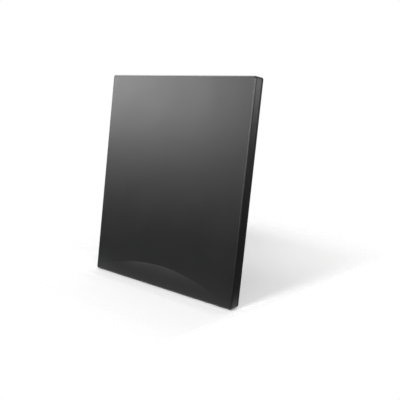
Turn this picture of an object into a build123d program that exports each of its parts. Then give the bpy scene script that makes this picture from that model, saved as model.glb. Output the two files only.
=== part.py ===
from build123d import *
from math import cos, radians, sin
import os

# A flat indoor antenna: a two-part case that leans back on a foot folded out behind it.
# The table top is z = 0 and the front faces -y. Sizes are millimetres and degrees.

# Case
lean = 9.0
panel_width = 200.0
panel_height = 225.0
panel_depth = 13.0
corner_radius = 2.5
front_edge_radius = 2.0
rear_edge_radius = 1.0
front_wall = 2.2
side_wall = 2.0
rear_wall = 2.0
inner_corner_radius = 1.0
rear_cover_depth = 3.4
shadow_gap = 0.5
shadow_inset = 0.6
tongue_wall = 1.2
tongue_height = 2.0
cover_clearance = 0.2
rib_thickness = 1.2

# Crescent scooped into the foot of the front face
crescent_top = 24.0
crescent_margin = 3.0
crescent_edge_gap = 0.5
scoop_depth = 1.3
scoop_sag = 0.27
scoop_overrun = 1.0

# Rubber feet under the lower side, which is level with the table
ground_gap = 0.6
base_foot_length = 26.0
base_foot_depth = 4.8
base_foot_back = 6.0
base_foot_inset = 32.0
base_foot_seat = 0.7
base_foot_radius = 1.5
base_foot_clearance = 0.1

# Fold-out foot, square to the panel when it is open
foot_reach = 61.0
foot_width = 64.0
foot_tip_width = 54.0
foot_tip_radius = 7.0
foot_thickness = 4.6
foot_sink = 0.2
foot_wall = 2.0
foot_skin = 1.8
foot_edge_round = 0.8
foot_rib_pitch = 15.0
foot_rib_count = 3
trunnion_radius = 1.6
trunnion_length = 1.5
trunnion_clearance = 0.05
hinge_gap = 0.4
stop_gap = 0.2
finger_gap = 3.5
pocket_wall = 1.8
pocket_skin = 1.6
tip_pad_thickness = 1.5
tip_pad_seat = 8.0
tip_pad_margin = 0.6
tip_pad_width = 40.0
tip_pad_radius = 2.0

# Screws that close the case
cover_screw_inset = 12.0
cover_screw_radius = 1.45
cover_screw_length = 6.8
cover_head_radius = 2.8
cover_head_height = 1.9
cover_boss_radius = 3.6
screw_well_depth = 3.2
screw_well_floor = 1.5
screw_well_wall = 1.4
screw_head_clearance = 0.4
screw_hole_clearance = 0.25
pilot_clearance = 0.05
head_round = 0.6
cross_length = 2.8
cross_width = 0.7
cross_depth = 1.0

# Antenna elements
feed_height = 128.0
sheet_thickness = 0.5
element_standoff = 1.2
element_outer = 88.0
element_half_height = 60.0
element_corner = 6.0
element_slot_length = 44.0
element_slot_width = 5.0
element_slot_turn = 25.0
element_slot_place = (60.0, 20.0)
feed_tab_inner = 10.0
feed_tab_width = 12.0
bend_start = 22.0
bend_radius = 0.6
peg_radius = 1.75
peg_clearance = 0.15
peg_places = ((46.0, 0.0), (78.0, 40.0), (78.0, -40.0))
peg_pad_radius = 4.0
stake_radius = 2.8
stake_height = 0.9

# Matching board and what it carries
board_width = 70.0
board_below = 14.0
board_above = 30.0
board_thickness = 1.6
board_corner = 1.5
board_boss_height = 2.8
board_boss_radius = 3.0
feed_screw_offset = 15.0
board_screw_offset = 28.0
board_screw_above = 23.0
board_screw_radius = 1.2
board_screw_length = 4.0
board_head_radius = 2.3
board_head_height = 1.5
core_width = 8.0
core_length = 5.4
core_height = 3.2
core_hole_radius = 0.9
core_hole_offset = 2.0
core_below = 9.0
can_width = 20.0
can_length = 13.0
can_height = 3.2
can_wall = 0.4
can_corner = 1.0
can_above = 4.5
winding_radius = 0.35
winding_bend = 0.6
winding_loop = 1.0
chip_width = 3.9
chip_length = 4.9
chip_height = 1.4
chip_standoff = 0.15
chip_offset = 4.6
chip_leg_count = 4
chip_leg_pitch = 1.27
chip_leg_width = 0.4
chip_leg_span = 6.0
chip_leg_height = 0.8
small_part_width = 2.0
small_part_length = 1.25
small_part_height = 0.7
small_part_offset = 4.0
small_part_columns = 2
small_part_rows = 3
small_part_pitch = 3.2

# Coaxial socket with a 3/8 inch thread
socket_above = 20.0
socket_thread_radius = 4.7625
socket_base = 12.0
socket_protrusion = 11.0
socket_end_chamfer = 0.5
socket_bore_radius = 3.3
socket_bore_floor = 1.9
socket_tail_bore = 1.5
socket_hole_clearance = 0.15
socket_leg_radius = 0.5
socket_leg_offset = 4.5
leg_protrusion = 0.9
leg_clearance = 0.1
socket_pitch_radius = 4.5
thread_gap = 0.6
insulator_recess = 0.4
insulator_clearance = 0.03
insulator_lip = 1.2
contact_radius = 1.2
contact_mouth_radius = 0.55
contact_tail_radius = 0.45
contact_clearance = 0.03
washer_radius = 7.2
washer_thickness = 0.7
washer_teeth = 12
washer_notch_width = 1.4
washer_notch_depth = 1.2
nut_width = 12.7
nut_thickness = 2.4
nut_chamfer = 0.4
thread_clearance = 0.03

# Keyholes for hanging on a wall
keyhole_spacing = 100.0
keyhole_from_top = 45.0
keyhole_entry_radius = 4.0
keyhole_slot_width = 4.0
keyhole_slot_length = 8.0

# Levels inside the case, measured back from the front face
parting_depth = panel_depth - rear_cover_depth
rear_inner = panel_depth - rear_wall
plate_front = front_wall + element_standoff
plate_rear = plate_front + sheet_thickness
tab_front = front_wall + board_boss_height
board_front = tab_front + sheet_thickness
board_rear = board_front + board_thickness
well_seat = panel_depth - screw_well_depth
boss_top = well_seat - screw_well_floor
tongue_inset = side_wall + cover_clearance
rim_inset = tongue_inset + tongue_wall

# Hinge of the foot: its height makes the open foot meet the table
slope_sin = sin(radians(lean))
slope_cos = cos(radians(lean))
level_slope = slope_sin / slope_cos
parting_lift = parting_depth * level_slope
neck_lift = (parting_depth + shadow_gap) * level_slope
foot_half = foot_thickness / 2
hinge_depth = panel_depth - foot_sink - foot_half
pocket_floor = hinge_depth - foot_half - hinge_gap
pad_start = foot_reach - tip_pad_seat
front_edge_z = ground_gap
hinge_z = tip_pad_thickness + pad_start * slope_sin + foot_half * slope_cos
hinge_height = (hinge_z - front_edge_z + hinge_depth * slope_sin) / slope_cos
pocket_lip = hinge_height - foot_half - stop_gap
pocket_top = hinge_height + foot_reach + finger_gap
foot_tip_depth = hinge_depth + foot_reach

# The model is centred front to back over the table
hinge_back = hinge_height * slope_sin + hinge_depth * slope_cos
tip_back = hinge_back + foot_reach * slope_cos + foot_half * slope_sin
top_back = panel_height * slope_sin + panel_depth * slope_cos
front_reach = front_edge_radius * ((1 + slope_sin) / slope_cos - 1)
front_edge_y = -(front_reach + max(tip_back, top_back)) / 2

# The panel's own plane: x across as seen from behind, y up the panel, z back from the front face
panel = Plane(
    origin=(0, front_edge_y, front_edge_z),
    x_dir=(-1, 0, 0),
    z_dir=(0, slope_cos, -slope_sin),
)
# The case's lower side: x across as seen from behind, y back over the table, z down
under = Plane(origin=panel.origin, x_dir=panel.x_dir, z_dir=(0, 0, -1))
depth_axis = Axis(panel.origin, panel.z_dir)
up_axis = Axis(panel.origin, panel.y_dir)


def behind(depth):
    """Plane parallel to the panel, this far back from its front face."""
    return panel.offset(depth)


def across(height):
    """Plane square to the panel at this height: x across, y back, z down the panel."""
    origin = panel.from_local_coords((0, height, 0))
    return Plane(origin=origin, x_dir=panel.x_dir, z_dir=-panel.y_dir)


def beside(place):
    """Plane of the panel's side section: x up the panel, y back, z across."""
    origin = panel.from_local_coords((place, 0, 0))
    return Plane(origin=origin, x_dir=panel.y_dir, z_dir=panel.x_dir)


def panel_rectangle(inset, radius, lift, mode=Mode.ADD):
    """Outline of the case in the open sketch, drawn in by an inset and raised below by a lift."""
    height = panel_height - 2 * inset - lift
    with Locations((0, inset + lift + height / 2)):
        RectangleRounded(panel_width - 2 * inset, height, radius, mode=mode)


def case_block(front, rear):
    """Solid case between two depths: square to the panel at the top, level with the table below."""
    with BuildPart() as block:
        with BuildSketch(beside(0)):
            Polygon(
                (front * level_slope, front),
                (panel_height, front),
                (panel_height, rear),
                (rear * level_slope, rear),
                align=None,
            )
        extrude(amount=panel_width / 2, both=True)
        side_edges = block.faces().filter_by(Axis.X).edges()
        fillet([e for e in side_edges if abs(e.tangent_at(0.5).dot(panel.y_dir)) < 0.5], corner_radius)
    return block.part


def two_sides(place, height):
    """The two mirrored places on the panel at this distance from its middle."""
    return [(-place, height), (place, height)]


cover_screw_side = panel_width / 2 - cover_screw_inset
cover_screw_places = two_sides(cover_screw_side, cover_screw_inset)
cover_screw_places += two_sides(cover_screw_side, panel_height - cover_screw_inset)
feed_screw_places = two_sides(feed_screw_offset, feed_height)
upper_screw_places = two_sides(board_screw_offset, feed_height + board_screw_above)
board_screw_places = feed_screw_places + upper_screw_places
base_foot_side = panel_width / 2 - base_foot_inset
base_foot_places = two_sides(base_foot_side, base_foot_back)
keyhole_places = two_sides(keyhole_spacing / 2, panel_height - keyhole_from_top)
socket_place = (0, feed_height + socket_above)
socket_legs = [
    (side * socket_leg_offset, feed_height + socket_above + end * socket_leg_offset)
    for side in (-1, 1)
    for end in (-1, 1)
]
peg_points = [
    (side * place, feed_height + height) for side in (-1, 1) for place, height in peg_places
]

# Wedge under the crescent's arc: it deepens from nothing at the lower edge up to the arc
crescent_half = panel_width / 2 - crescent_margin
crescent_foot = front_edge_radius + crescent_edge_gap
scoop_end = crescent_top + scoop_overrun
with BuildPart() as crescent_scoop:
    with BuildSketch(behind(-scoop_overrun)):
        with BuildLine():
            arc = ThreePointArc(
                (-crescent_half, crescent_foot), (0, crescent_top), (crescent_half, crescent_foot)
            )
            Line(arc @ 1, arc @ 0)
        make_face()
    extrude(amount=scoop_overrun + front_wall)
    with BuildSketch(beside(0)):
        with BuildLine():
            slope = ThreePointArc(
                (crescent_foot, 0),
                ((crescent_foot + scoop_end) / 2, scoop_sag * scoop_depth),
                (scoop_end, scoop_depth),
            )
            Polyline(slope @ 1, (scoop_end, -scoop_overrun), (crescent_foot, -scoop_overrun), slope @ 0)
        make_face()
    extrude(amount=panel_width, both=True, mode=Mode.INTERSECT)

# Front cover: a shallow tray with the pegs and bosses that carry everything inside
front_block = case_block(0, parting_depth)
with BuildPart() as front_cover:
    add(front_block)
    fillet(front_cover.faces().sort_by(depth_axis)[0].edges(), front_edge_radius)
    add(crescent_scoop.part, mode=Mode.SUBTRACT)
    with BuildSketch(behind(front_wall)):
        panel_rectangle(side_wall, inner_corner_radius, parting_lift)
    extrude(amount=parting_depth - front_wall, mode=Mode.SUBTRACT)
    # Ribs and pads that hold the elements clear of the wall
    with BuildSketch(behind(front_wall)):
        with Locations((0, panel_height / 2)):
            with GridLocations(panel_width / 2, 0, 2, 1):
                Rectangle(rib_thickness, panel_height - 2 * side_wall)
            with GridLocations(0, panel_height / 3, 1, 2):
                Rectangle(panel_width - 2 * side_wall, rib_thickness)
        with Locations(*peg_points):
            Circle(peg_pad_radius)
    extrude(amount=element_standoff)
    # Pegs, staked over the elements
    with BuildSketch(behind(plate_front)):
        with Locations(*peg_points):
            Circle(peg_radius)
    extrude(amount=sheet_thickness)
    with BuildSketch(behind(plate_rear)):
        with Locations(*peg_points):
            Circle(stake_radius)
    extrude(amount=stake_height)
    # Bosses for the board and for the rear cover
    with BuildSketch(behind(front_wall)):
        with Locations(*feed_screw_places):
            Circle(board_boss_radius)
    extrude(amount=tab_front - front_wall)
    with BuildSketch(behind(front_wall)):
        with Locations(*upper_screw_places):
            Circle(board_boss_radius)
    extrude(amount=board_front - front_wall)
    with BuildSketch(behind(front_wall)):
        with Locations(*cover_screw_places):
            Circle(cover_boss_radius)
    extrude(amount=boss_top - front_wall)
    with BuildSketch(behind(front_wall)):
        with Locations(*board_screw_places):
            Circle(board_screw_radius + pilot_clearance)
        with Locations(*cover_screw_places):
            Circle(cover_screw_radius + pilot_clearance)
    extrude(amount=boss_top - front_wall, mode=Mode.SUBTRACT)
    # Seats for the rubber feet in the lower wall
    with BuildSketch(under):
        with Locations(*base_foot_places):
            RectangleRounded(base_foot_length, base_foot_depth, base_foot_radius)
    extrude(amount=-base_foot_seat, mode=Mode.SUBTRACT)

# Rear cover: the lid, with the pocket that the foot folds into
pocket_half = foot_width / 2 + hinge_gap
pocket_tip_half = foot_tip_width / 2 + hinge_gap
pocket_points = [
    (-pocket_half, pocket_lip),
    (pocket_half, pocket_lip),
    (pocket_half, hinge_height + foot_half),
    (pocket_tip_half, pocket_top),
    (-pocket_tip_half, pocket_top),
    (-pocket_half, hinge_height + foot_half),
]
rear_block = case_block(parting_depth + shadow_gap, panel_depth)
with BuildPart() as rear_cover:
    add(rear_block)
    fillet(rear_cover.faces().sort_by(depth_axis)[-1].edges(), rear_edge_radius)
    with BuildSketch(behind(parting_depth)):
        panel_rectangle(shadow_inset, corner_radius - shadow_inset, neck_lift)
    extrude(amount=shadow_gap)
    with BuildSketch(behind(parting_depth)):
        panel_rectangle(rim_inset, inner_corner_radius, parting_lift)
    extrude(amount=rear_inner - parting_depth, mode=Mode.SUBTRACT)
    # Tongue that stands inside the front cover's wall
    with BuildSketch(behind(parting_depth - tongue_height)):
        panel_rectangle(tongue_inset, inner_corner_radius, parting_lift)
        panel_rectangle(rim_inset, inner_corner_radius, parting_lift, Mode.SUBTRACT)
    extrude(amount=tongue_height)
    # Pocket for the folded foot, with a skin of its own inside the case
    with BuildSketch(behind(pocket_floor - pocket_skin)) as pocket_shell:
        Polygon(*pocket_points, align=None)
        fillet(pocket_shell.vertices().group_by(Axis.Y)[-1], foot_tip_radius + hinge_gap)
        offset(amount=pocket_wall, kind=Kind.INTERSECTION)
    extrude(amount=rear_inner - pocket_floor + pocket_skin)
    with BuildSketch(behind(pocket_floor)) as pocket:
        Polygon(*pocket_points, align=None)
        fillet(pocket.vertices().group_by(Axis.Y)[-1], foot_tip_radius + hinge_gap)
    extrude(amount=panel_depth - pocket_floor, mode=Mode.SUBTRACT)
    with BuildSketch(beside(0)):
        with Locations((hinge_height, hinge_depth)):
            Circle(trunnion_radius + trunnion_clearance)
    extrude(amount=pocket_half + pocket_wall, both=True, mode=Mode.SUBTRACT)
    # Sunk wells for the screws
    with BuildSketch(behind(boss_top)):
        with Locations(*cover_screw_places):
            Circle(cover_head_radius + screw_head_clearance + screw_well_wall)
    extrude(amount=rear_inner - boss_top)
    with BuildSketch(behind(well_seat)):
        with Locations(*cover_screw_places):
            Circle(cover_head_radius + screw_head_clearance)
    extrude(amount=screw_well_depth, mode=Mode.SUBTRACT)
    with BuildSketch(behind(boss_top)):
        with Locations(*cover_screw_places):
            Circle(cover_screw_radius + screw_hole_clearance)
    extrude(amount=screw_well_floor, mode=Mode.SUBTRACT)
    # Hole for the socket and keyholes for hanging
    with BuildSketch(behind(rear_inner)):
        with Locations(socket_place):
            Circle(socket_thread_radius + socket_hole_clearance)
        with Locations(*keyhole_places):
            Circle(keyhole_entry_radius)
        with Locations(*[(x, y + keyhole_slot_length / 2) for x, y in keyhole_places]):
            SlotCenterToCenter(keyhole_slot_length, keyhole_slot_width, rotation=90)
    extrude(amount=rear_wall, mode=Mode.SUBTRACT)

# Fold-out foot, drawn open: smooth underneath, hollow with ribs on top
hollow_start = hinge_depth + foot_half + foot_wall
with BuildPart() as fold_out_foot:
    with BuildSketch(across(hinge_height + foot_half)) as foot_outline:
        Polygon(
            (-foot_width / 2, hinge_depth),
            (foot_width / 2, hinge_depth),
            (foot_tip_width / 2, foot_tip_depth),
            (-foot_tip_width / 2, foot_tip_depth),
            align=None,
        )
        fillet(foot_outline.vertices().group_by(Axis.Y)[-1], foot_tip_radius)
    extrude(amount=foot_thickness)
    underside = fold_out_foot.faces().sort_by(up_axis)[0]
    fillet(underside.edges().sort_by(depth_axis)[1:], foot_edge_round)
    with BuildSketch(across(hinge_height + foot_half)) as foot_hollow:
        Polygon(
            (-foot_width / 2, hollow_start - foot_wall),
            (foot_width / 2, hollow_start - foot_wall),
            (foot_tip_width / 2, foot_tip_depth),
            (-foot_tip_width / 2, foot_tip_depth),
            align=None,
        )
        fillet(foot_hollow.vertices().group_by(Axis.Y)[-1], foot_tip_radius)
        offset(amount=-foot_wall, mode=Mode.REPLACE)
        with Locations((0, (hinge_depth + foot_tip_depth) / 2)):
            with GridLocations(foot_rib_pitch, 0, foot_rib_count, 1):
                Rectangle(rib_thickness, foot_reach, mode=Mode.SUBTRACT)
    extrude(amount=foot_thickness - foot_skin, mode=Mode.SUBTRACT)
    with BuildSketch(beside(0)):
        with Locations((hinge_height, hinge_depth)):
            Circle(foot_half)
    extrude(amount=foot_width / 2, both=True)
    with BuildSketch(beside(0)):
        with Locations((hinge_height, hinge_depth)):
            Circle(trunnion_radius)
    extrude(amount=pocket_half + trunnion_length, both=True)
    # Flat under the tip, level with the table, where the pad is glued
    split(bisect_by=Plane.XY.offset(tip_pad_thickness), keep=Keep.TOP)

# Rubber strip under the tip of the foot
hinge_y = front_edge_y + hinge_back
tip_drop = (hinge_z - foot_reach * slope_sin - tip_pad_thickness) / slope_cos
seat_front_y = hinge_y + pad_start * slope_cos - foot_half * slope_sin
seat_back_y = hinge_y + foot_reach * slope_cos - tip_drop * slope_sin
with BuildPart() as foot_tip_pad:
    with BuildSketch(Plane.XY):
        with Locations((0, (seat_front_y + seat_back_y) / 2)):
            RectangleRounded(
                tip_pad_width, seat_back_y - seat_front_y - 2 * tip_pad_margin, tip_pad_radius
            )
    extrude(amount=tip_pad_thickness)


def base_foot(place):
    """A rubber foot seated in the lower wall, standing on the table."""
    with BuildPart() as foot:
        with BuildSketch(under.offset(-base_foot_seat)):
            with Locations(place):
                RectangleRounded(
                    base_foot_length - 2 * base_foot_clearance,
                    base_foot_depth - 2 * base_foot_clearance,
                    base_foot_radius - base_foot_clearance,
                )
        extrude(amount=base_foot_seat + ground_gap)
    return foot.part


right_base_foot, left_base_foot = [base_foot(place) for place in base_foot_places]


def element(side):
    """One stamped half of the dipole, with its feed tab bent up to the board."""
    plate_level = (plate_front + plate_rear) / 2
    tab_level = (tab_front + board_front) / 2
    bend_end = bend_start + tab_level - plate_level
    with BuildPart() as sheet:
        with BuildSketch(across(feed_height)):
            with BuildLine():
                FilletPolyline(
                    (side * feed_tab_inner, tab_level),
                    (side * bend_start, tab_level),
                    (side * bend_end, plate_level),
                    (side * element_outer, plate_level),
                    radius=bend_radius,
                )
            trace(line_width=sheet_thickness)
        extrude(amount=2 * element_half_height, both=True)
        with BuildSketch(panel) as outline:
            with Locations((0, feed_height)):
                Polygon(
                    (side * feed_tab_inner, -feed_tab_width / 2),
                    (side * bend_end, -feed_tab_width / 2),
                    (side * element_outer, -element_half_height),
                    (side * element_outer, element_half_height),
                    (side * bend_end, feed_tab_width / 2),
                    (side * feed_tab_inner, feed_tab_width / 2),
                    align=None,
                )
            fillet(outline.vertices().sort_by(Axis.X)[-2 if side > 0 else 0 :][:2], element_corner)
            with Locations(*[(side * x, feed_height + y) for x, y in peg_places]):
                Circle(peg_radius + peg_clearance, mode=Mode.SUBTRACT)
            with Locations((side * feed_screw_offset, feed_height)):
                Circle(board_screw_radius + screw_hole_clearance, mode=Mode.SUBTRACT)
            for end in (-1, 1):
                across_place, up_place = element_slot_place
                with Locations((side * across_place, feed_height + end * up_place)):
                    SlotOverall(
                        element_slot_length,
                        element_slot_width,
                        rotation=side * end * element_slot_turn,
                        mode=Mode.SUBTRACT,
                    )
        extrude(amount=panel_depth, mode=Mode.INTERSECT)
    return sheet.part


left_element = element(1)
right_element = element(-1)

# Board that joins the elements to the socket
with BuildPart() as matching_board:
    with BuildSketch(behind(board_front)):
        with Locations((0, feed_height + (board_above - board_below) / 2)):
            RectangleRounded(board_width, board_above + board_below, board_corner)
        with Locations(*board_screw_places):
            Circle(board_screw_radius + screw_hole_clearance, mode=Mode.SUBTRACT)
        with Locations(*socket_legs):
            Circle(socket_leg_radius + leg_clearance, mode=Mode.SUBTRACT)
        with Locations(socket_place):
            Circle(contact_tail_radius + leg_clearance, mode=Mode.SUBTRACT)
    extrude(amount=board_thickness)

# Ferrite core of the balun, with its two winding holes
with BuildPart() as balun_core:
    with BuildSketch(across(feed_height - core_below + core_length / 2)):
        with Locations((0, board_rear + core_height / 2)):
            RectangleRounded(core_width, core_height, core_height / 3)
            with GridLocations(2 * core_hole_offset, 0, 2, 1):
                Circle(core_hole_radius, mode=Mode.SUBTRACT)
    extrude(amount=core_length)

# Wire wound through the core, with both ends soldered to the board
winding_level = board_rear + core_height / 2
winding_top = feed_height - core_below + core_length / 2 + winding_loop
winding_bottom = winding_top - core_length - 2 * winding_loop
with BuildPart() as balun_winding:
    with BuildLine(panel) as winding_path:
        FilletPolyline(
            (-core_hole_offset, winding_top, board_rear),
            (-core_hole_offset, winding_top, winding_level),
            (-core_hole_offset, winding_bottom, winding_level),
            (core_hole_offset, winding_bottom, winding_level),
            (core_hole_offset, winding_top, winding_level),
            (core_hole_offset, winding_top, board_rear),
            radius=winding_bend,
        )
    with BuildSketch(Plane(origin=winding_path.line @ 0, z_dir=winding_path.line % 0)):
        Circle(winding_radius)
    sweep(path=winding_path.line)

# Amplifier chip on its legs, and the small parts beside it
with BuildPart() as amplifier_chip:
    with BuildSketch(behind(board_rear + chip_standoff)):
        with Locations((-chip_offset, feed_height + can_above)):
            Rectangle(chip_width, chip_length)
    extrude(amount=chip_height)
    with BuildSketch(behind(board_rear)):
        with Locations((-chip_offset, feed_height + can_above)):
            with GridLocations(0, chip_leg_pitch, 1, chip_leg_count):
                Rectangle(chip_leg_span, chip_leg_width)
            Rectangle(chip_width, chip_length, mode=Mode.SUBTRACT)
    extrude(amount=chip_leg_height)

with BuildPart() as chip_parts:
    with BuildSketch(behind(board_rear)):
        with Locations((small_part_offset, feed_height + can_above)):
            with GridLocations(
                small_part_pitch, small_part_pitch, small_part_columns, small_part_rows
            ):
                Rectangle(small_part_width, small_part_length)
    extrude(amount=small_part_height)

# Tinned can over the amplifier, open towards the board
with BuildPart() as shield_can:
    with BuildSketch(behind(board_rear)):
        with Locations((0, feed_height + can_above)):
            RectangleRounded(can_width, can_length, can_corner)
    extrude(amount=can_height)
    with BuildSketch(behind(board_rear)):
        with Locations((0, feed_height + can_above)):
            Rectangle(can_width - 2 * can_wall - can_corner, can_length - 2 * can_wall - can_corner)
            offset(amount=can_corner / 2)
    extrude(amount=can_height - can_wall, mode=Mode.SUBTRACT)

# Socket body: square base between board and rear wall, threaded barrel out of the back.
# Threads aren't cut here, so the nut meets the barrel at the thread's pitch radius.
socket_end = panel_depth + socket_protrusion
bore_floor = board_rear + socket_bore_floor
thread_start = panel_depth + washer_thickness + nut_thickness + thread_gap
with BuildPart() as socket_body:
    with BuildSketch(behind(board_rear)):
        with Locations(socket_place):
            Rectangle(socket_base, socket_base)
    extrude(amount=rear_inner - board_rear)
    with BuildSketch(behind(rear_inner)):
        with Locations(socket_place):
            Circle(socket_pitch_radius)
    extrude(amount=thread_start - rear_inner)
    with BuildSketch(behind(thread_start)):
        with Locations(socket_place):
            Circle(socket_thread_radius)
    extrude(amount=socket_end - thread_start)
    chamfer(socket_body.faces().sort_by(depth_axis)[-1].edges(), socket_end_chamfer)
    with BuildSketch(behind(bore_floor)):
        with Locations(socket_place):
            Circle(socket_bore_radius)
    extrude(amount=socket_end - bore_floor, mode=Mode.SUBTRACT)
    with BuildSketch(behind(board_rear)):
        with Locations(socket_place):
            Circle(socket_tail_bore)
    extrude(amount=socket_bore_floor, mode=Mode.SUBTRACT)
    with BuildSketch(behind(board_front - leg_protrusion)):
        with Locations(*socket_legs):
            Circle(socket_leg_radius)
    extrude(amount=board_thickness + leg_protrusion)

# Insulator in the barrel and the sprung contact inside it
insulator_end = socket_end - insulator_recess
contact_end = insulator_end - insulator_lip
with BuildPart() as socket_insulator:
    with BuildSketch(behind(bore_floor)):
        with Locations(socket_place):
            Circle(socket_bore_radius - insulator_clearance)
            Circle(contact_mouth_radius, mode=Mode.SUBTRACT)
    extrude(amount=insulator_end - bore_floor)
    with BuildSketch(behind(bore_floor)):
        with Locations(socket_place):
            Circle(contact_radius + contact_clearance)
    extrude(amount=contact_end - bore_floor, mode=Mode.SUBTRACT)

contact_start = bore_floor + insulator_lip
with BuildPart() as socket_contact:
    with BuildSketch(behind(contact_start)):
        with Locations(socket_place):
            Circle(contact_radius)
    extrude(amount=contact_end - contact_start)
    with BuildSketch(behind(contact_start + insulator_lip)):
        with Locations(socket_place):
            Circle(contact_mouth_radius)
    extrude(amount=contact_end - contact_start - insulator_lip, mode=Mode.SUBTRACT)
    with BuildSketch(behind(board_front - leg_protrusion)):
        with Locations(socket_place):
            Circle(contact_tail_radius)
    extrude(amount=contact_start - board_front + leg_protrusion)

# Toothed washer and nut that clamp the rear wall against the socket's base
with BuildPart() as socket_washer:
    with BuildSketch(behind(panel_depth)):
        with Locations(socket_place):
            Circle(washer_radius)
            Circle(socket_thread_radius + socket_hole_clearance, mode=Mode.SUBTRACT)
            with PolarLocations(washer_radius, washer_teeth):
                Rectangle(2 * washer_notch_depth, washer_notch_width, mode=Mode.SUBTRACT)
    extrude(amount=washer_thickness)

with BuildPart() as socket_nut:
    with BuildSketch(behind(panel_depth + washer_thickness)):
        with Locations(socket_place):
            RegularPolygon(nut_width / 2, 6, major_radius=False)
    extrude(amount=nut_thickness)
    chamfer(socket_nut.faces().sort_by(depth_axis)[-1].edges(), nut_chamfer)
    with BuildSketch(behind(panel_depth + washer_thickness)):
        with Locations(socket_place):
            Circle(socket_pitch_radius + thread_clearance)
    extrude(amount=nut_thickness, mode=Mode.SUBTRACT)


def screws(places, seat, head_radius, head_height, shank_radius, shank_length):
    """A set of pan-head screws, driven from behind until the heads meet their seat."""
    with BuildPart() as fasteners:
        with BuildSketch(behind(seat)):
            with Locations(*places):
                Circle(head_radius)
        extrude(amount=head_height)
        fillet(fasteners.faces().group_by(depth_axis)[-1].edges(), head_round)
        with BuildSketch(behind(seat + head_height - cross_depth)):
            with Locations(*places):
                Rectangle(cross_length, cross_width)
                Rectangle(cross_width, cross_length)
        extrude(amount=cross_depth, mode=Mode.SUBTRACT)
        with BuildSketch(behind(seat - shank_length)):
            with Locations(*places):
                Circle(shank_radius)
        extrude(amount=shank_length)
    return fasteners.part


cover_screws = screws(
    cover_screw_places,
    well_seat,
    cover_head_radius,
    cover_head_height,
    cover_screw_radius,
    cover_screw_length,
)
board_screws = screws(
    board_screw_places,
    board_rear,
    board_head_radius,
    board_head_height,
    board_screw_radius,
    board_screw_length,
)

pieces = {
    "front_cover": front_cover.part,
    "rear_cover": rear_cover.part,
    "fold_out_foot": fold_out_foot.part,
    "foot_tip_pad": foot_tip_pad.part,
    "left_base_foot": left_base_foot,
    "right_base_foot": right_base_foot,
    "left_element": left_element,
    "right_element": right_element,
    "matching_board": matching_board.part,
    "balun_core": balun_core.part,
    "balun_winding": balun_winding.part,
    "amplifier_chip": amplifier_chip.part,
    "chip_parts": chip_parts.part,
    "shield_can": shield_can.part,
    "socket_body": socket_body.part,
    "socket_insulator": socket_insulator.part,
    "socket_contact": socket_contact.part,
    "socket_washer": socket_washer.part,
    "socket_nut": socket_nut.part,
    "cover_screws": cover_screws,
    "board_screws": board_screws,
}
os.makedirs("parts", exist_ok=True)
for name, piece in pieces.items():
    piece.label = name
    export_step(piece, f"parts/{name}.step")
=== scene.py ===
import math

import bmesh
import bpy
from mathutils import Matrix, Quaternion, Vector


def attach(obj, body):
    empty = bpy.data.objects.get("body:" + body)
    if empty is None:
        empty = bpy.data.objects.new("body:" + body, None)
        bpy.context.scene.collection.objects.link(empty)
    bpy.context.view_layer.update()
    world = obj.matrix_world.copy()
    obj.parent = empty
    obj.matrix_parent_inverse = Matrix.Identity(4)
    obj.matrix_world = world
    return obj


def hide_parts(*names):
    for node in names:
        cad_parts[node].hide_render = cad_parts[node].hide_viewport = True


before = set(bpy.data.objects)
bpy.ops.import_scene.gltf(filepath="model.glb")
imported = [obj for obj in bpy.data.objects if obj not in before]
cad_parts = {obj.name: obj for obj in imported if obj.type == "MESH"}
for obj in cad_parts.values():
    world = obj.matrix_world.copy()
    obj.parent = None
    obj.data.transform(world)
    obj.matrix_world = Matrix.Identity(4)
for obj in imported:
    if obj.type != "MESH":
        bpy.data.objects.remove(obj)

bl_info = {
    "name": "Flat indoor antenna",
    "version": (1, 0, 0),
    "blender": (4, 5, 0),
    "location": "3D View > Sidebar > Antenna",
    "description": "Dresses the packed antenna in its finishes, threads and screws, and lights it",
    "category": "Object",
}

# The panel leans back about its lower front edge
LEAN = math.radians(9.0)
FRONT_EDGE = Vector((0.0, -0.0366984, 0.0006))
PANEL_WIDTH = 0.2
PANEL_HEIGHT = 0.225

# An edge that turns by more than the first stays sharp in shading, and past the second it is rounded
SHARP_ANGLE = math.radians(36)
BREAK_ANGLE = math.radians(40)

# Points closer than this are one point, and faces that turn by less than this are one face
SAME_POINT = 1e-6
SAME_FACE = math.radians(0.2)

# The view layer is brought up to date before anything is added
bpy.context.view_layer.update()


def panel_frame():
    """Matrix from the panel's own axes (across as seen from behind, up, back) to the model's."""
    sine = math.sin(LEAN)
    cosine = math.cos(LEAN)
    turn = Matrix(((-1, 0, 0), (0, sine, cosine), (0, cosine, -sine))).to_4x4()
    return Matrix.Translation(FRONT_EDGE) @ turn


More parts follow.
